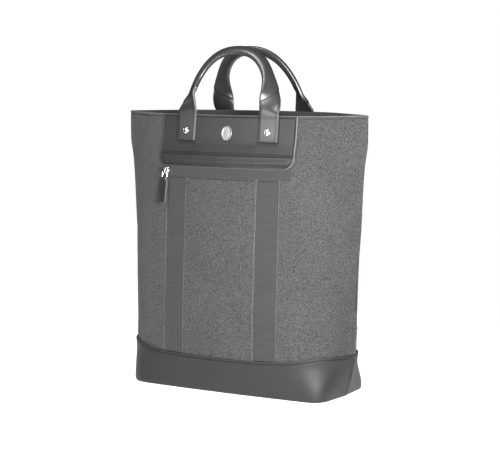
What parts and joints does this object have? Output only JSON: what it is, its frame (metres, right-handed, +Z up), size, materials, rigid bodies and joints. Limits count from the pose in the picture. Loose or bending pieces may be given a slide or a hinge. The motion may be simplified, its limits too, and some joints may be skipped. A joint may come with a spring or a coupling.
{
  "type": "convertible backpack",
  "caption": "Soft tote-style backpack with a leather yoke and base, two carry handles, a zipped front pocket and padded shoulder straps behind.",
  "frame": {"origin": "on the floor under the middle of the bag, in the flat underside of its leather base", "axes": "+X to the right of someone who looks at the front, +Y from the front to the back, +Z up; the front with its zip pocket faces -Y"},
  "size_m": [0.4216, 0.1912, 0.5201],
  "materials": {
    "fabric": "melange grey wool-like cloth",
    "lining": "dark plain lining",
    "base_leather": "smooth dark grey leather",
    "handle_leather": "smooth dark grey leather with a soft shine",
    "webbing": "ribbed grey webbing",
    "nickel": "polished nickel",
    "pad_cloth": "dark padded cloth",
    "plastic": "black moulded plastic"
  },
  "bodies": {
    "root": {"front_panel": "fabric", "back_panel": "fabric", "facing_front": "lining", "facing_back": "lining", "base_front": "base_leather", "base_back": "base_leather", "base_floor": "base_leather", "yoke": "base_leather", "back_yoke": "base_leather", "zip_tape": "webbing", "zip_slider": "nickel", "zip_loop": "nickel", "zip_pull": "handle_leather", "strip_left": "webbing", "strip_right": "webbing", "handle_front": "handle_leather", "handle_back": "handle_leather", "rivet_front_left": "nickel", "rivet_front_right": "nickel", "rivet_back_left": "nickel", "rivet_back_right": "nickel", "badge_plate": "nickel", "shoulder_strap_left": "pad_cloth", "shoulder_strap_right": "pad_cloth", "strap_buckle_left": "plastic", "strap_buckle_right": "plastic", "strap_webbing_left": "webbing", "strap_webbing_right": "webbing", "strap_tab_left": "base_leather", "strap_tab_right": "base_leather"}
  },
  "joints": []
}
